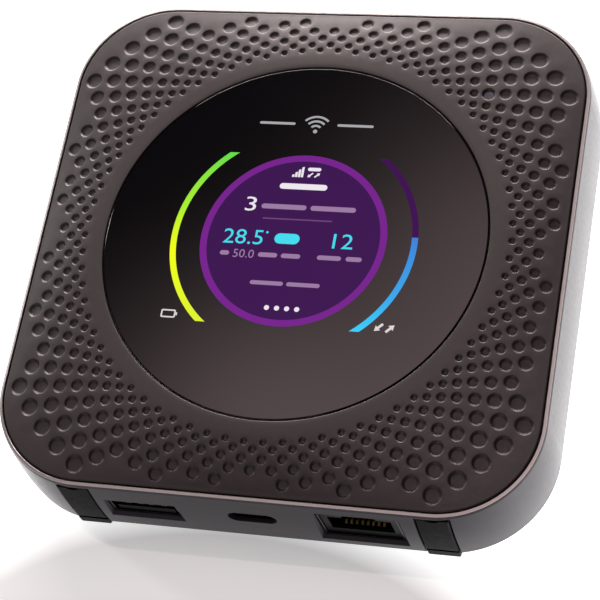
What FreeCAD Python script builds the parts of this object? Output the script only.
import FreeCAD, Part
import math
import os

from FreeCAD import Vector

# Mobile hotspot lying on its back, all lengths in millimetres.
# +Z points out of the screen, -Y is the edge with the sockets, +X is to the right of the screen.
# X = Y = 0 is the centre of the square body and Z = 0 is the plane that the feet rest on.

# Outer form: a rounded square whose wall widens towards the back and then turns under.
HALF = 53.1             # half of the overall width at the widest height
CORNER = 19.8           # corner radius at the widest height
HEIGHT = 20.35          # feet to the top of the lens
FOOT = 0.4              # how far the feet stand out of the back
BULGE_Z = 4.5           # height at which the wall is widest
WALL_BEND = 95.0        # radius of the wall's bow, seen in section
WALL_LOW = 2.0          # height at which the wall starts to turn under
LIP_TOP = 17.95         # top of the lip round the front
LIP_IN = 51.45          # inner edge of that lip
LIP_EDGE = (52.0, 17.85)        # outer edge of the lip, half width and height
LIP_CREASE = (52.08, 17.7)      # foot of the small step outside the lip
SHOULDER_MID = (52.23, 17.33)   # a point of the rounded shoulder below the step
WALL_TOP = 16.9         # height at which the shoulder meets the wall
SHELL_IN = 50.8         # inner face of the side shell
SHELL_MOUTH = 48.4      # half width of the opening at the back
LEDGE_IN = 49.7         # inner edge of the ledge that carries the bezel
LEDGE_TOP = 16.4

# Bezel: flat at the lens, falling away to the edge, with rings of pits that grow outwards.
BEZEL_HALF = 51.15
BEZEL_CORNER = 17.85
BEZEL_DROP = 2.38
DOME_POWER = 1.6
BEZEL_SKIN = 2.1
DOME_START = 37.9       # radius at which the dome leaves the flat rim round the lens
PIT_RINGS = ((41.65, 1.45), (43.0, 1.65), (44.7, 1.9), (46.65, 2.15),
             (49.15, 2.5), (51.9, 2.85), (55.15, 3.2), (58.85, 3.5))   # ring radius, pit diameter
PITS_PER_TURN = 72
PIT_LIMIT = 50.3        # no pit reaches further out than this
PIT_FINE = 0.34         # every pit's wall width and depth are this much ...
PIT_SHARE = 0.03        # ... plus this share of its diameter
PIT_CLEAR = 0.15        # how far a pit's cutter stands above the surface
LED_RING = 3            # the pit of this ring on the +X +Y diagonal holds the light pipe ...
LIGHT_PIT = 2.7         # ... and is wider than its neighbours
LIGHT_R = 1.0
LIGHT_SUNK = 0.3        # how far the light pipe ends below the pit's floor

# Screen stack, from the lens down.
LENS_R = 37.2
LENS_SEAT_R = 37.5
LENS_CHAMFER = 0.2
LENS_BOTTOM = 19.15
SEAT_Z = 19.0
SEAT_BOTTOM = 18.1
WINDOW = (52.0, 40.0)
LCD_X = (-28.0, 32.3)
LCD_Y = (-21.35, 21.35)
LCD_TOP = 17.8
LCD_BOTTOM = 16.4
BACKLIGHT_BOTTOM = 15.5
BRACKET_BOTTOM = 15.2
SPREADER_Z = (14.9, 15.1)

# Circuit board and chassis.
PCB_HALF = 47.8
PCB_CORNER = 15.0
PCB_Z = (12.4, 13.4)
SHIELD_TOP = 14.8
CHASSIS_OUT = 50.7
DECK_Z = (3.1, 4.1)
DECK_HALF = 50.0
CEILING_Z = (10.2, 11.1)
BAY_X = 33.6
BAY_Y = (-20.6, 44.6)
BAY_WALL = 1.0
BOSS_AT = 38.5          # the four screw bosses are at (+-BOSS_AT, +-BOSS_AT)
BOSS_R = 3.0
PILLAR_R = 2.6          # the bezel's pillars that the four long screws end in
POST_R = 2.0
THREAD_R = 0.9          # hole that a screw bites in
SCREW_PASS_R = 1.1      # hole that a screw's shank passes through
SCREW_SINK_R = 2.3      # recess for a long screw's head
HIGH = 20.0             # cutters that go right through end at this height ...
OUTSIDE = 54.0          # ... or at this distance from the centre, outside the wall
WALL_BACK = 49.0        # and start at this one, behind the wall
BOARD_POSTS = ((-22.0, 36.0), (22.0, 36.0), (-30.0, -14.0), (30.0, -14.0))

# Battery and back cover.
BATTERY_X = 33.0
BATTERY_Y = (-20.0, 44.0)
BATTERY_Z = (2.5, 9.9)
COVER_HALF = 48.2
COVER_TOP = 1.9
RIM_HALF = 46.9         # outer face of the cover's locating rim
FOOT_AT = 35.0
FOOT_R = 4.0

# Sockets in the -Y edge: centre across, centre height, width, height.
USB_A = (-21.7, 9.5, 13.1, 5.7)
USB_C = (-0.4, 10.7, 8.94, 3.2)
RJ45 = (19.8, 9.8, 15.0, 10.4)
SOCKET_FRONT = -52.2
SOCKET_GAP = 0.25
RJ45_BACK = -36.0
USB_A_BACK = -38.5
USB_C_BACK = -45.0

# Inside the Ethernet socket.
PLUG_HALF = 5.9         # half width of the space for the plug
PLUG_FLOOR = 3.9        # depth of that space below the socket's centre
LATCH_HALF = 3.1
CONTACT_Y = -50.9       # front of the eight contact wires
CONTACT_PITCH = 1.02
CONTACT_WIDTH = 0.45

# Antenna ports under the two rubber doors.
DOOR_X = 33.9
DOOR_WIDTH = 6.0
DOOR_TOP = 16.6
RECESS_IN = 51.3
RECESS_WIDTH = 6.6
HINGE_Z = 3.7
KNUCKLE_R = 0.75
DOOR_ROUND = 0.3        # rounding of the flap's long outer edges
ANCHOR_TOP = 2.73
ANCHOR_PROUD = 0.6
PORT_Z = 9.5
PORT_R = 2.5
PORT_BORE_R = 1.6

# Buttons and card.
POWER_Z = 10.5
POWER_SIZE = (12.0, 3.2)
RESET_AT = (-41.0, 30.0)
RESET_R = 0.95
SIM_X = (36.0, 48.0)
SIM_Y = (-5.0, 10.0)
SIM_Z = (2.45, 3.2)
SIM_CHANNEL = (35.8, 48.2, -8.0, 24.0)


# ---------------------------------------------------------------- shape helpers

def box(x0, x1, y0, y1, z0, z1):
    """A block between two corners."""
    return Part.makeBox(x1 - x0, y1 - y0, z1 - z0, Vector(x0, y0, z0))


def upright(x, y, radius, z0, z1):
    """A cylinder along Z."""
    return Part.makeCylinder(radius, z1 - z0, Vector(x, y, z0))


def lying(x, z, radius, y0, y1):
    """A cylinder along Y."""
    return Part.makeCylinder(radius, y1 - y0, Vector(x, y0, z), Vector(0, 1, 0))


def arc(a, middle, b):
    """An arc through three points."""
    return Part.Arc(Vector(*a), Vector(*middle), Vector(*b)).toShape()


def line(a, b):
    """A straight edge between two points."""
    return Part.LineSegment(Vector(*a), Vector(*b)).toShape()


def union(shapes):
    """One shape from many, with the seams between coplanar faces removed."""
    first, *rest = shapes
    return first.multiFuse(rest).removeSplitter() if rest else first


def rounded_outline(half_x, half_y, radius, z, centre=(0.0, 0.0)):
    """The outline of a rounded rectangle, eight edges from the +X side round to it again."""
    cx, cy = centre
    ax, ay = half_x - radius, half_y - radius
    edges = []
    for turn, (sx, sy) in enumerate(((1, 1), (-1, 1), (-1, -1), (1, -1))):
        corner = Vector(cx + sx * ax, cy + sy * ay, z)
        points = []
        for step in range(3):
            angle = math.radians(90 * turn + 45 * step)
            points.append(corner + Vector(radius * math.cos(angle), radius * math.sin(angle), 0))
        edges.append((points[0], points[1], points[2]))
    wire = []
    for turn in range(4):
        start, middle, end = edges[turn]
        wire.append(Part.Arc(start, middle, end).toShape())
        wire.append(Part.LineSegment(end, edges[(turn + 1) % 4][0]).toShape())
    return Part.Wire(wire)


def plate(half_x, half_y, radius, z0, z1, centre=(0.0, 0.0)):
    """A rounded rectangle of constant thickness."""
    outline = rounded_outline(half_x, half_y, radius, z0, centre)
    return Part.Face(outline).extrude(Vector(0, 0, z1 - z0))


def square_plate(half, z0, z1):
    """A plate that follows the body's own corners at the given half width."""
    return plate(half, half, CORNER - (HALF - half), z0, z1)


def slot_prism(x, z, width, height, y0, y1):
    """A prism along Y with rounded ends left and right."""
    r = height / 2
    reach = width / 2 - r
    middle = box(x - reach, x + reach, y0, y1, z - r, z + r)
    return union([middle, lying(x - reach, z, r, y0, y1), lying(x + reach, z, r, y0, y1)])


def around_body(section):
    """Carries a section, drawn in the XZ plane at the +X side, once round the rounded square."""
    straight = HALF - CORNER
    side = section.copy()
    side.translate(Vector(0, -straight, 0))
    side = side.extrude(Vector(0, 2 * straight, 0))
    corner = section.copy()
    corner.translate(Vector(0, straight, 0))
    corner = corner.revolve(Vector(straight, straight, 0), Vector(0, 0, 1), 90)
    pieces = []
    for turn in range(4):
        for piece in (side, corner):
            turned = piece.copy()
            turned.rotate(Vector(0, 0, 0), Vector(0, 0, 1), 90 * turn)
            pieces.append(turned)
    return union(pieces)


def wall_half(z, grow=0.0):
    """Half width of the bulging wall at a height, grown outwards by an amount."""
    return HALF - WALL_BEND + math.sqrt((WALL_BEND + grow) ** 2 - (z - BULGE_Z) ** 2)


def turn_under():
    """Centre and radius of the arc that takes the wall under to the flat back."""
    slope = (BULGE_Z - WALL_LOW) / WALL_BEND
    across = math.sqrt(1 - slope ** 2)
    radius = (WALL_LOW - FOOT) / (1 - slope)
    return wall_half(WALL_LOW) - radius * across, WALL_LOW + radius * slope, radius


def low_arc_point(angle, grow=0.0):
    """A point of the turned-under arc, the angle in degrees below horizontal."""
    centre, height, radius = turn_under()
    a = math.radians(angle)
    return centre + (radius + grow) * math.cos(a), height - (radius + grow) * math.sin(a)


def dome_section(share, base_half, base_corner, top, drop):
    """Outline of the dome part of the way from the lens (0) to the edge (1)."""
    half = DOME_START + share * (base_half - DOME_START)
    edge_diagonal = (base_half - base_corner) * math.sqrt(2) + base_corner
    diagonal = DOME_START + share * (edge_diagonal - DOME_START)
    radius = min((half * math.sqrt(2) - diagonal) / (math.sqrt(2) - 1), half - 0.05)
    return rounded_outline(half, half, radius, top - drop * share ** DOME_POWER)


def dome(base_half, base_corner, top, drop, bottom):
    """A solid that rises from a rounded square at its foot to a round flat top."""
    shares = (1.0, 0.8, 0.6, 0.4, 0.2, 0.0)
    sections = [dome_section(s, base_half, base_corner, top, drop) for s in shares]
    crown = Part.makeLoft(sections, True, False)
    foot = plate(base_half, base_half, base_corner, bottom, top - drop)
    return crown.fuse(foot)


def edge_radius(x, y):
    """Distance from the centre to the bezel's edge in the direction of a point."""
    ax, ay = abs(x), abs(y)
    reach = math.hypot(ax, ay)
    c, s = ax / reach, ay / reach
    radius = BEZEL_HALF / max(c, s)
    straight = BEZEL_HALF - BEZEL_CORNER
    if min(radius * c, radius * s) > straight:
        along = straight * (c + s)
        radius = along + math.sqrt(along ** 2 - 2 * straight ** 2 + BEZEL_CORNER ** 2)
    return radius


def dome_height(x, y):
    """Height of the bezel's top surface above a point."""
    reach = math.hypot(x, y)
    share = max(0.0, (reach - DOME_START) / (edge_radius(x, y) - DOME_START))
    return HEIGHT - BEZEL_DROP * share ** DOME_POWER


def pit_places():
    """Centre and diameter of every pit: alternate rings are turned by half a step."""
    places = []
    for ring, (radius, diameter) in enumerate(PIT_RINGS):
        for step in range(PITS_PER_TURN):
            angle = math.radians(360 / PITS_PER_TURN * (step + 0.5 * (ring % 2 == 0)))
            x, y = radius * math.cos(angle), radius * math.sin(angle)
            if max(abs(x), abs(y)) + diameter / 2 <= PIT_LIMIT:
                places.append((x, y, diameter))
    return places


def surface_normal(x, y):
    """Unit normal of the bezel's top surface above a point."""
    step = 0.01
    rise_x = dome_height(x + step, y) - dome_height(x - step, y)
    rise_y = dome_height(x, y + step) - dome_height(x, y - step)
    return Vector(-rise_x, -rise_y, 2 * step).normalize()


def pit_depth(diameter):
    return PIT_FINE + PIT_SHARE * diameter


def pit(x, y, diameter):
    """The cutter for one pit, square to the surface: sides at 45 degrees and a flat floor."""
    depth = pit_depth(diameter)
    rise = depth + PIT_CLEAR
    low = diameter / 2 - depth
    normal = surface_normal(x, y)
    floor = Vector(x, y, dome_height(x, y)) - normal * depth
    return Part.makeCone(low, low + rise, rise, floor, normal)


def led_place():
    """Centre of the pit that holds the status light."""
    reach = PIT_RINGS[LED_RING][0] / math.sqrt(2)
    return reach, reach


def four_corners(at):
    """The four points (+-at, +-at)."""
    return [(sx * at, sy * at) for sx in (-1, 1) for sy in (-1, 1)]


# ---------------------------------------------------------------- housing

def top_bezel():
    outer = dome(BEZEL_HALF, BEZEL_CORNER, HEIGHT, BEZEL_DROP, LEDGE_TOP)
    hollow = dome(BEZEL_HALF - 3.2, BEZEL_CORNER - 3.2, HEIGHT - BEZEL_SKIN - 0.15, BEZEL_DROP, 10.0)
    bosses = [upright(x, y, PILLAR_R, PCB_Z[1], LEDGE_TOP + 0.6) for x, y in four_corners(BOSS_AT)]
    body = outer.cut(hollow).fuse(bosses)
    seat = upright(0, 0, LENS_SEAT_R, SEAT_Z, HEIGHT + 1)
    window = plate(WINDOW[0] / 2, WINDOW[1] / 2, 1.5, SEAT_BOTTOM - 1, SEAT_Z + 1)
    holes = [upright(x, y, THREAD_R, PCB_Z[1] - 0.5, LEDGE_TOP) for x, y in four_corners(BOSS_AT)]
    light_x, light_y = led_place()
    light_hole = upright(light_x, light_y, LIGHT_R + 0.03, LEDGE_TOP - 2, HEIGHT)
    pits = [pit(x, y, diameter) for x, y, diameter in pit_places()]
    pits.append(pit(light_x, light_y, LIGHT_PIT))
    return body.cut([seat, window, light_hole] + holes).cut(pits)


def display_lens():
    lens = upright(0, 0, LENS_R, LENS_BOTTOM, HEIGHT)
    rim = [e for e in lens.Edges if abs(e.BoundBox.ZMin - HEIGHT) < 0.01 and e.Length > 200]
    return lens.makeChamfer(LENS_CHAMFER, rim)


def lens_adhesive():
    ring = upright(0, 0, LENS_R - 0.4, SEAT_Z, LENS_BOTTOM)
    return ring.cut(plate(WINDOW[0] / 2 + 0.4, WINDOW[1] / 2 + 0.4, 1.5, SEAT_Z - 1, HEIGHT))


def side_shell():
    mid_x, mid_z = low_arc_point(47)
    centre = turn_under()[0]
    top_x = wall_half(WALL_TOP)
    lip_x, lip_z = LIP_EDGE
    crease_x, crease_z = LIP_CREASE
    outline = Part.Wire([
        line((LIP_IN, 0, LEDGE_TOP), (LIP_IN, 0, LIP_TOP - 0.1)),
        line((LIP_IN, 0, LIP_TOP - 0.1), (LIP_IN + 0.1, 0, LIP_TOP)),
        line((LIP_IN + 0.1, 0, LIP_TOP), (lip_x, 0, lip_z)),
        line((lip_x, 0, lip_z), (crease_x, 0, crease_z)),
        arc((crease_x, 0, crease_z), (SHOULDER_MID[0], 0, SHOULDER_MID[1]), (top_x, 0, WALL_TOP)),
        arc((top_x, 0, WALL_TOP), (HALF, 0, BULGE_Z), (wall_half(WALL_LOW), 0, WALL_LOW)),
        arc((wall_half(WALL_LOW), 0, WALL_LOW), (mid_x, 0, mid_z), (centre, 0, FOOT)),
        line((centre, 0, FOOT), (SHELL_MOUTH, 0, FOOT)),
        line((SHELL_MOUTH, 0, FOOT), (SHELL_MOUTH, 0, 1.8)),
        line((SHELL_MOUTH, 0, 1.8), (SHELL_IN, 0, 3.6)),
        line((SHELL_IN, 0, 3.6), (SHELL_IN, 0, 15.4)),
        line((SHELL_IN, 0, 15.4), (LEDGE_IN, 0, 15.7)),
        line((LEDGE_IN, 0, 15.7), (LEDGE_IN, 0, LEDGE_TOP)),
        line((LEDGE_IN, 0, LEDGE_TOP), (LIP_IN, 0, LEDGE_TOP)),
    ])
    band = around_body(Part.Face(outline))
    cuts = [socket_hole(USB_A), socket_hole(RJ45)]
    cuts += [socket_bevel(USB_A), socket_bevel(RJ45)]
    cuts.append(slot_prism(USB_C[0], USB_C[1], USB_C[2] + 0.4, USB_C[3] + 0.4, -OUTSIDE, -WALL_BACK))
    cuts.append(slot_prism(0, POWER_Z, POWER_SIZE[0] + 0.3, POWER_SIZE[1] + 0.3, WALL_BACK, OUTSIDE))
    for side in (-1, 1):
        x = side * DOOR_X
        half = RECESS_WIDTH / 2
        cuts.append(box(x - half, x + half, -OUTSIDE, -RECESS_IN, ANCHOR_TOP - 1.2, DOOR_TOP + 0.3))
        cuts.append(box(x - half, x + half, -OUTSIDE, -49.6, -1, 1.7))
        cuts.append(lying(x, PORT_Z, PORT_R + 0.1, -OUTSIDE, -WALL_BACK))
    cuts.append(box(-7, 7, 48, 49.6, 0, 1.3))
    return band.cut(cuts)


def socket_hole(socket):
    """The opening in a wall for a rectangular socket, a little larger than its metal shell."""
    x, z, width, height = socket
    w, h = width / 2 + SOCKET_GAP, height / 2 + SOCKET_GAP
    return box(x - w, x + w, -OUTSIDE, -WALL_BACK, z - h, z + h)


def socket_bevel(socket):
    """The bevel round a socket's opening: it widens towards the outside of the wall."""
    x, z, width, height = socket
    outlines = []
    for y, grow in ((-53.4, SOCKET_GAP + 0.73), (-52.35, SOCKET_GAP)):
        w, h = width / 2 + grow, height / 2 + grow
        outlines.append(Part.makePolygon([Vector(x - w, y, z - h), Vector(x + w, y, z - h),
                                          Vector(x + w, y, z + h), Vector(x - w, y, z + h),
                                          Vector(x - w, y, z - h)]))
    return Part.makeLoft(outlines, True, True)


def inner_chassis():
    bay_x, (bay_y0, bay_y1) = BAY_X + BAY_WALL, BAY_Y
    deck = square_plate(DECK_HALF, *DECK_Z)
    rim = square_plate(CHASSIS_OUT, DECK_Z[1], CEILING_Z[1]).cut(square_plate(CHASSIS_OUT - 1, 0, HIGH))
    tub = box(-bay_x, bay_x, bay_y0 - BAY_WALL, bay_y1 + BAY_WALL, DECK_Z[0], CEILING_Z[1])
    bosses = [upright(x, y, BOSS_R, DECK_Z[0], PCB_Z[0]) for x, y in four_corners(BOSS_AT)]
    posts = [upright(x, y, POST_R, CEILING_Z[0], PCB_Z[0]) for x, y in BOARD_POSTS]
    body = union([deck, rim, tub] + bosses + posts)
    bay = box(-BAY_X, BAY_X, bay_y0, bay_y1, 0, CEILING_Z[0])
    channel_x0, channel_x1, channel_y0, channel_y1 = SIM_CHANNEL
    cuts = [bay, box(channel_x0, channel_x1, channel_y0, channel_y1, 0, 3.5)]
    for x, y in four_corners(BOSS_AT):
        cuts.append(upright(x, y, SCREW_SINK_R, 0, 4.0))
        cuts.append(upright(x, y, SCREW_PASS_R, 0, HIGH))
    cuts.append(upright(RESET_AT[0], RESET_AT[1], RESET_R + 0.2, 0, HIGH))
    for socket in (USB_A, USB_C, RJ45):
        cuts.append(box(socket[0] - socket[2] / 2 - 0.6, socket[0] + socket[2] / 2 + 0.6,
                        -52, -48, DECK_Z[1], HIGH))
    cuts.append(box(-8, 8, 48, 52, 7.4, HIGH))
    cuts += [upright(x, y, THREAD_R, CEILING_Z[0] + 0.2, HIGH) for x, y in BOARD_POSTS]
    cuts.append(box(-8.1, 8.1, bay_y0 - 2.7, bay_y0 + 1, 3.3, 8.9))
    for side in (-1, 1):
        cuts.append(box(side * DOOR_X - 3.3, side * DOOR_X + 3.3, -52, -48, 6.4, HIGH))
    return body.cut(cuts)


# ---------------------------------------------------------------- screen

def status_light_pipe():
    x, y = led_place()
    floor = dome_height(x, y) - pit_depth(LIGHT_PIT)
    return upright(x, y, LIGHT_R, PCB_Z[1] + 0.9, floor - LIGHT_SUNK)


def status_led():
    x, y = led_place()
    return box(x - 0.8, x + 0.8, y - 0.5, y + 0.5, PCB_Z[1], PCB_Z[1] + 0.7)


def lcd_gasket():
    outer = box(LCD_X[0] + 1, LCD_X[1] - 3, LCD_Y[0] + 0.2, LCD_Y[1] - 0.2, LCD_TOP, SEAT_BOTTOM)
    return outer.cut(box(-WINDOW[0] / 2, WINDOW[0] / 2, -WINDOW[1] / 2, WINDOW[1] / 2, 0, HIGH))


def lcd_panel():
    return box(*LCD_X, *LCD_Y, LCD_BOTTOM, LCD_TOP)


def lcd_backlight():
    return box(LCD_X[0], LCD_X[1] - 1.5, *LCD_Y, BACKLIGHT_BOTTOM, LCD_BOTTOM)


def lcd_bracket():
    wall, gap, top = 0.3, 0.15, 17.2
    grow = wall + gap
    outer = box(LCD_X[0] - grow, LCD_X[1] + grow, LCD_Y[0] - grow, LCD_Y[1] + grow, BRACKET_BOTTOM, top)
    inner = box(LCD_X[0] - gap, LCD_X[1] + gap, LCD_Y[0] - gap, LCD_Y[1] + gap, BACKLIGHT_BOTTOM, HIGH)
    flex_slot = box(LCD_X[1] - 1, LCD_X[1] + 2, -8.5, 8.5, BRACKET_BOTTOM + 0.3, HIGH)
    light_cuts = [box(x - 9, x + 9, -14, 14, 0, BACKLIGHT_BOTTOM) for x in (-14, 14)]
    return outer.cut([inner, flex_slot] + light_cuts)


def lcd_flex():
    x, low = LCD_X[1], PCB_Z[1] + 0.9
    panel_end = box(x + 0.02, x + 2.2, -7, 7, 16.6, 16.75)
    drop = box(x + 2.05, x + 2.2, -7, 7, low, 16.75)
    tail = box(x + 2.05, x + 6.5, -7, 7, low, low + 0.15)
    return union([panel_end, drop, tail])


def lcd_connector():
    x = LCD_X[1] + 3.6
    return box(x, x + 3.2, -8, 8, PCB_Z[1], PCB_Z[1] + 0.9)


# ---------------------------------------------------------------- circuit board

def main_pcb():
    board = plate(PCB_HALF, PCB_HALF, PCB_CORNER, *PCB_Z)
    holes = [upright(x, y, SCREW_PASS_R + 0.2, 0, HIGH) for x, y in four_corners(BOSS_AT)]
    holes += [upright(x, y, THREAD_R + 0.1, 0, HIGH) for x, y in BOARD_POSTS]
    half = RJ45[2] / 2 + 0.3
    holes.append(box(RJ45[0] - half, RJ45[0] + half, -OUTSIDE, RJ45_BACK + 0.3, 0, HIGH))
    return board.cut(holes)


def shield_can(x0, x1, y0, y1):
    """A pressed metal can, open below, with a thin wall."""
    outer = box(x0, x1, y0, y1, PCB_Z[1], SHIELD_TOP)
    return outer.cut(box(x0 + 0.2, x1 - 0.2, y0 + 0.2, y1 - 0.2, 0, SHIELD_TOP - 0.2))


def modem_shield():
    return shield_can(-24, 8, -6, 28)


def wifi_shield():
    return shield_can(10, 30, 6, 28)


def power_shield():
    return shield_can(-24, 8, -26, -9)


def chip(x, y, size_x, size_y, height=1.0):
    """A flat package standing on the board."""
    return box(x - size_x / 2, x + size_x / 2, y - size_y / 2, y + size_y / 2,
               PCB_Z[1], PCB_Z[1] + height)


def modem_chipset():
    return Part.makeCompound([chip(-10, 12, 14, 14), chip(-19, 22, 6, 6, 0.8), chip(0, 22, 7, 5, 0.8)])


def memory_chip():
    return chip(2.5, 4, 9, 11)


def wifi_chipset():
    return Part.makeCompound([chip(18, 18, 9, 9), chip(26, 11, 4, 4, 0.7)])


def power_chips():
    parts = [chip(-18, -17, 5, 5, 0.9), chip(-9, -17, 4, 4, 0.9), chip(0, -20, 3, 3, 1.1)]
    parts += [chip(-3.5 + 3 * k, -12.5, 2, 1.2, 0.8) for k in range(4)]
    return Part.makeCompound(parts)


def thermal_pad():
    return box(-17, -3, 5, 19, PCB_Z[1] + 1.0, SHIELD_TOP - 0.2)


def heat_spreader():
    return box(-26, 31, -27, 29, *SPREADER_Z).cut(box(9, 32, -28, 5, 0, HIGH))


def board_screws():
    return Part.makeCompound([screw(x, y, PCB_Z[1] + 0.9, -1, 1.7, 0.8, 2.8) for x, y in BOARD_POSTS])


def screw(x, y, head_face, direction, head_r, shank_r, length):
    """A cross-head screw: the head's outer face, which way it is driven, and its shank."""
    head = Part.makeCylinder(head_r, 0.9, Vector(x, y, head_face), Vector(0, 0, direction))
    shank = Part.makeCylinder(shank_r, length, Vector(x, y, head_face + 0.9 * direction),
                              Vector(0, 0, direction))
    low = min(head_face, head_face + 0.4 * direction)
    cross = [box(x - 0.8, x + 0.8, y - 0.15, y + 0.15, low, low + 0.4),
             box(x - 0.15, x + 0.15, y - 0.8, y + 0.8, low, low + 0.4)]
    return head.fuse(shank).cut(cross)


def chassis_screws():
    return Part.makeCompound([screw(x, y, DECK_Z[0], 1, 2.0, 0.85, 12.0)
                              for x, y in four_corners(BOSS_AT)])


# ---------------------------------------------------------------- sockets

def sleeve(socket, back, wall):
    """A rectangular metal sleeve, open at the front and closed at the back."""
    x, z, width, height = socket
    w, h = width / 2, height / 2
    outer = box(x - w, x + w, SOCKET_FRONT, back, z - h, z + h)
    return outer.cut(box(x - w + wall, x + w - wall, SOCKET_FRONT - 1, back - wall,
                         z - h + wall, z + h - wall))


def usb_a_shell():
    body = sleeve(USB_A, USB_A_BACK, 0.3)
    x, z, _, height = USB_A
    springs = [box(x + dx - 1.0, x + dx + 1.0, -48.5, -45.5, z - height, z - height / 2 + 0.4)
               for dx in (-3, 3)]
    return body.cut(springs)


def usb_a_tongue():
    """The tongue lies in the lower half of the socket, with its contacts upwards."""
    x, z = USB_A[:2]
    tongue = box(x - 5.6, x + 5.6, SOCKET_FRONT + 0.2, USB_A_BACK - 1.5, z - 2.3, z - 0.55)
    block = box(x - 6.2, x + 6.2, USB_A_BACK - 1.6, USB_A_BACK - 0.3, z - 2.45, z + 2.45)
    return union([tongue, block])


def usb_a_contacts():
    x, z = USB_A[:2]
    return Part.makeCompound([box(x + dx - 0.5, x + dx + 0.5, -51.5, -42, z - 0.55, z - 0.4)
                              for dx in (-3.5, -1.0, 1.0, 3.5)])


def usb_c_shell():
    x, z, width, height = USB_C
    outer = slot_prism(x, z, width, height, SOCKET_FRONT, USB_C_BACK)
    return outer.cut(slot_prism(x, z, width - 0.5, height - 0.5, SOCKET_FRONT - 1, USB_C_BACK - 0.3))


def usb_c_tongue():
    x, z = USB_C[:2]
    tongue = box(x - 3.35, x + 3.35, SOCKET_FRONT + 0.6, USB_C_BACK - 1.2, z - 0.35, z + 0.35)
    block = slot_prism(x, z, 8.3, 2.6, USB_C_BACK - 1.3, USB_C_BACK - 0.3)
    return union([tongue, block])


def usb_c_contacts():
    x, z = USB_C[:2]
    strips = []
    for k in range(12):
        left = x - 2.9 + 0.5 * k
        for low in (z - 0.4, z + 0.35):
            strips.append(box(left, left + 0.28, -51.3, -48, low, low + 0.05))
    return Part.makeCompound(strips)


def ethernet_shield():
    x, z, width, height = RJ45
    body = sleeve(RJ45, RJ45_BACK, 0.25)
    finger_gaps = [box(x + side * width / 2 - 0.4, x + side * width / 2 + 0.4, -50.6, -46, z - 1, z + 1)
                   for side in (-1, 1)]
    return body.cut(finger_gaps)


def ethernet_body():
    """The insulator: a plug space with the latch groove on top, a front sill and a bar over the contacts."""
    x, z, width, height = RJ45
    w, h = width / 2 - 0.25, height / 2 - 0.25
    front = SOCKET_FRONT + 0.3
    outer = box(x - w, x + w, front, RJ45_BACK - 0.25, z - h, z + h)
    plug_space = box(x - PLUG_HALF, x + PLUG_HALF, -OUTSIDE, RJ45_BACK - 2, z - PLUG_FLOOR, z + 2.9)
    latch_space = box(x - LATCH_HALF, x + LATCH_HALF, -OUTSIDE, RJ45_BACK - 4, z, z + 4.4)
    sill = box(x - PLUG_HALF, x + PLUG_HALF, front, CONTACT_Y - 0.1, z - PLUG_FLOOR, z - 2.8)
    bar = box(x - PLUG_HALF, x + PLUG_HALF, CONTACT_Y + 1.3, CONTACT_Y + 8, z - 3.1, z - 2.6)
    return union([outer.cut([plug_space, latch_space]), sill, bar])


def ethernet_contacts():
    """Eight sprung wires that rise over the front sill and run back under the bar."""
    x, z = RJ45[:2]
    profile = ((0.0, 0.05), (0.1, 1.25), (0.7, 1.3), (1.2, 0.65), (6.1, 0.5),
               (6.1, 0.2), (1.1, 0.3), (0.55, 0.95), (0.4, 0.9), (0.3, 0.05))
    points = [Vector(0, CONTACT_Y + y, z - PLUG_FLOOR + rise) for y, rise in profile]
    section = Part.Face(Part.makePolygon(points + points[:1]))
    wires = []
    for k in range(8):
        wire = section.extrude(Vector(CONTACT_WIDTH, 0, 0))
        wire.translate(Vector(x + (k - 3.5) * CONTACT_PITCH - CONTACT_WIDTH / 2, 0, 0))
        wires.append(wire)
    return Part.makeCompound(wires)


def ethernet_transformer():
    return box(RJ45[0] - 6.5, RJ45[0] + 6.5, RJ45_BACK + 1.2, RJ45_BACK + 8.2, 9.2, PCB_Z[0])


def antenna_port(side):
    """A small coaxial jack: a threaded-look barrel on a square body, with a blind bore."""
    x = side * DOOR_X
    barrel = lying(x, PORT_Z, PORT_R, -51.2, -47.5)
    body = box(x - 2.9, x + 2.9, -47.6, -43.4, PORT_Z - 2.9, PCB_Z[0])
    return union([barrel, body]).cut(lying(x, PORT_Z, PORT_BORE_R, -52, -46.2))


def antenna_port_left():
    return antenna_port(-1)


def antenna_port_right():
    return antenna_port(1)


def antenna_port_pins():
    return Part.makeCompound([lying(side * DOOR_X, PORT_Z, 0.35, -49.8, -46.2) for side in (-1, 1)])


def hinge_distance():
    """Distance of the door hinge axis from the body's centre."""
    return wall_half(HINGE_Z) - KNUCKLE_R


def antenna_door(side):
    """A rubber flap that follows the wall, with a rounded hinge edge and a nail notch."""
    axis = hinge_distance()
    inner = axis - KNUCKLE_R
    top_x = wall_half(DOOR_TOP)
    section = Part.Wire([
        arc((0, -top_x, DOOR_TOP), (0, -HALF, BULGE_Z), (0, -wall_half(HINGE_Z), HINGE_Z)),
        arc((0, -wall_half(HINGE_Z), HINGE_Z), (0, -axis, HINGE_Z - KNUCKLE_R), (0, -inner, HINGE_Z)),
        line((0, -inner, HINGE_Z), (0, -inner, DOOR_TOP)),
        line((0, -inner, DOOR_TOP), (0, -top_x, DOOR_TOP)),
    ])
    flap = Part.Face(section).extrude(Vector(DOOR_WIDTH, 0, 0))
    sides = [e for e in flap.Edges if e.BoundBox.XLength < 0.01 and e.BoundBox.YMax < 0.5 - inner
             and e.BoundBox.ZLength > 5 and e.BoundBox.YMin < -HALF + 0.1]
    flap = flap.makeFillet(DOOR_ROUND, sides)
    flap.translate(Vector(side * DOOR_X - DOOR_WIDTH / 2, 0, 0))
    stub = lying(side * DOOR_X, PORT_Z, 1.15, -inner - 0.05, -50.6)
    notch = lying(side * DOOR_X, DOOR_TOP + 0.9, 1.6, -OUTSIDE, -51.95)
    return flap.fuse(stub).cut(notch)


def antenna_door_left():
    return antenna_door(-1)


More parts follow.
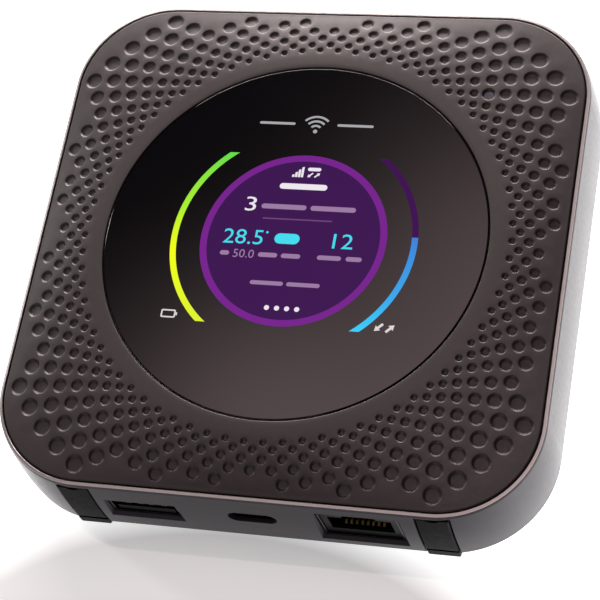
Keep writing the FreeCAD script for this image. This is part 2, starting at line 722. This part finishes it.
def antenna_door_right():
    return antenna_door(1)


def door_anchor(side):
    """The fixed end of the flap: it wraps under to the back and stands a little proud."""
    centre, height, radius = turn_under()
    reach = radius + ANCHOR_PROUD
    disc = Part.makeCylinder(reach, DOOR_WIDTH, Vector(side * DOOR_X - DOOR_WIDTH / 2, -centre, height),
                             Vector(1, 0, 0))
    x0, x1 = side * DOOR_X - DOOR_WIDTH / 2, side * DOOR_X + DOOR_WIDTH / 2
    outer = disc.makeFillet(DOOR_ROUND, [e for e in disc.Edges if e.BoundBox.XLength < 0.01])
    outer = outer.common(box(x0, x1, -HALF, -49.7, 0.05, ANCHOR_TOP))
    keep_side = box(x0, x1, -HALF, -RECESS_IN - 0.05, 0, ANCHOR_TOP)
    keep_back = box(x0, x1, -HALF, -49.7, 0, 1.5)
    return outer.common(union([keep_side, keep_back]))


def door_anchor_left():
    return door_anchor(-1)


def door_anchor_right():
    return door_anchor(1)


# ---------------------------------------------------------------- antennas

def cellular_antenna(side):
    """A printed film on the inside of the chassis rim, folded along its lower edge."""
    x = side * (CHASSIS_OUT - 1)
    wall = box(min(x, x - side * 0.3), max(x, x - side * 0.3), -28, 28, 4.4, 10.9)
    fold = box(min(x, x - side * 3.0), max(x, x - side * 3.0), -28, 28, 4.2, 4.45)
    gaps = [box(-OUTSIDE, OUTSIDE, y - 1.2, y + 1.2, 6, HIGH) for y in (-14, 0, 14)]
    return union([wall, fold]).cut(gaps)


def cellular_antenna_left():
    return cellular_antenna(-1)


def cellular_antenna_right():
    return cellular_antenna(1)


def wifi_antennas():
    strips = []
    for side in (-1, 1):
        x = side * 28
        upstand = box(x - 6, x + 6, 43.0, 43.3, PCB_Z[1], 15.6)
        arm = box(x - 6, x + 6, 40.5, 43.3, 15.3, 15.6)
        strips.append(union([upstand, arm]))
    return Part.makeCompound(strips)


# ---------------------------------------------------------------- battery and card

def battery_cell():
    cell = plate(BATTERY_X, (BATTERY_Y[1] - BATTERY_Y[0]) / 2, 2.5, *BATTERY_Z,
                 centre=(0, (BATTERY_Y[0] + BATTERY_Y[1]) / 2))
    return cell.cut(box(-9, 9, BATTERY_Y[0] - 1, BATTERY_Y[0] + 1.5, 3.2, 8.6))


def battery_contact_block():
    block = box(-9, 9, BATTERY_Y[0], BATTERY_Y[0] + 1.5, 3.2, 8.6)
    windows = [box(x - 1.2, x + 1.2, BATTERY_Y[0] - 1, BATTERY_Y[0] + 0.4, 3.8, 8.0)
               for x in (-6, -2, 2, 6)]
    return block.cut(windows)


def battery_contacts():
    return Part.makeCompound([box(x - 1.2, x + 1.2, BATTERY_Y[0] + 0.2, BATTERY_Y[0] + 0.4, 3.8, 8.0)
                              for x in (-6, -2, 2, 6)])


def battery_label():
    return box(-BATTERY_X + 4, BATTERY_X - 4, BATTERY_Y[0] + 8, BATTERY_Y[1] - 5,
               BATTERY_Z[0] - 0.1, BATTERY_Z[0])


def battery_connector():
    base = box(-8, 8, BAY_Y[0] - 2.6, BAY_Y[0] - 0.05, 3.4, 8.8)
    blades = [box(x - 0.5, x + 0.5, BAY_Y[0] - 0.1, BAY_Y[0] + 0.4, 4.4, 7.4) for x in (-6, -2, 2, 6)]
    return union([base] + blades)


def sim_socket():
    x0, x1 = SIM_X[0] - 0.15, SIM_X[1] + 0.15
    rails = [box(x0 - 0.05, x0 + 0.1, -7.8, 7.5, 2.1, 3.45), box(x1 - 0.1, x1 + 0.05, -7.8, 7.5, 2.1, 3.45)]
    stop = box(x0, x1, -7.8, -5.1, 2.1, 3.45)
    hood = box(x0, x1, -7.8, 3.0, 2.1, 2.3)
    window = box(SIM_X[0] + 3, SIM_X[1] - 3, -4, 1.5, 0, 2.4)
    return union(rails + [stop, hood]).cut(window)


def sim_card():
    card = box(*SIM_X, *SIM_Y, *SIM_Z)
    bevel = Part.makeBox(3.6, 3.6, 4, Vector(-1.8, -1.8, 0))
    bevel.rotate(Vector(0, 0, 0), Vector(0, 0, 1), 45)
    bevel.translate(Vector(SIM_X[0], SIM_Y[0], 1))
    return card.cut(bevel)


# ---------------------------------------------------------------- buttons

def power_button():
    cap = slot_prism(0, POWER_Z, *POWER_SIZE, 50.4, 52.8)
    flange = slot_prism(0, POWER_Z, POWER_SIZE[0] + 1.6, POWER_SIZE[1] + 1.4, 50.0, 50.6)
    stem = lying(0, POWER_Z, 1.0, 48.9, 50.1)
    return union([cap, flange, stem])


def power_switch():
    body = box(-3.5, 3.5, 46.3, 47.9, 8.8, PCB_Z[0])
    return union([body, lying(0, POWER_Z, 0.8, 47.8, 48.35)])


def reset_button():
    x, y = RESET_AT
    pin = upright(x, y, RESET_R, 2.9, 9.85)
    collar = upright(x, y, 1.7, DECK_Z[1] + 0.1, DECK_Z[1] + 0.7)
    return union([pin, collar])


def reset_switch():
    x, y = RESET_AT
    body = box(x - 2, x + 2, y - 1.5, y + 1.5, 10.9, PCB_Z[0])
    return union([body, upright(x, y, 0.7, 10.2, 11.0)])


# ---------------------------------------------------------------- back cover

def back_cover():
    panel = square_plate(COVER_HALF, FOOT, COVER_TOP)
    rim = square_plate(RIM_HALF, COVER_TOP - 0.1, 2.7).cut(square_plate(RIM_HALF - 0.9, 0, HIGH))
    tongues = []
    for turn in range(4):
        for along in (-18, 18):
            tongue = box(RIM_HALF - 0.9, RIM_HALF + 0.7, along - 2.5, along + 2.5, COVER_TOP - 0.1, 2.9)
            tongue.rotate(Vector(0, 0, 0), Vector(0, 0, 1), 90 * turn)
            tongues.append(tongue)
    body = union([panel, rim] + tongues)
    foot_seats = [upright(x, y, FOOT_R + 0.1, 0, FOOT + 0.3) for x, y in four_corners(FOOT_AT)]
    card_window = box(SIM_CHANNEL[0] - 0.2, SIM_CHANNEL[1] - 0.4, SIM_CHANNEL[2] - 0.2,
                      SIM_CHANNEL[3] + 0.2, COVER_TOP - 0.1, 5)
    nail_notch = box(-6.5, 6.5, COVER_HALF - 1.2, COVER_HALF + 1, 0, 1.1)
    return body.cut(foot_seats + [card_window, nail_notch])


def rubber_feet():
    return Part.makeCompound([upright(x, y, FOOT_R, 0, FOOT + 0.3) for x, y in four_corners(FOOT_AT)])


def cover_foam():
    return Part.makeCompound([box(x - 10, x + 10, y - 3, y + 3, COVER_TOP, COVER_TOP + 0.4)
                              for x in (-18, 18) for y in (-10, 34)])


SUB_PARTS = (
    top_bezel, display_lens, lens_adhesive, status_light_pipe, status_led,
    lcd_gasket, lcd_panel, lcd_backlight, lcd_bracket, lcd_flex, lcd_connector,
    side_shell, inner_chassis, main_pcb, modem_shield, modem_chipset, memory_chip,
    wifi_shield, wifi_chipset, power_shield, power_chips, thermal_pad, heat_spreader,
    board_screws, chassis_screws,
    usb_a_shell, usb_a_tongue, usb_a_contacts, usb_c_shell, usb_c_tongue, usb_c_contacts,
    ethernet_shield, ethernet_body, ethernet_contacts, ethernet_transformer,
    antenna_port_left, antenna_port_right, antenna_port_pins,
    antenna_door_left, antenna_door_right, door_anchor_left, door_anchor_right,
    cellular_antenna_left, cellular_antenna_right, wifi_antennas,
    battery_cell, battery_contact_block, battery_contacts, battery_label, battery_connector,
    sim_socket, sim_card, power_button, power_switch, reset_button, reset_switch,
    back_cover, rubber_feet, cover_foam,
)

os.makedirs("parts", exist_ok=True)
for make in SUB_PARTS:
    shape = make()
    shape.exportStep(f"parts/{make.__name__}.step")
    print(make.__name__, "valid" if shape.isValid() else "NOT VALID", round(shape.Volume, 2))
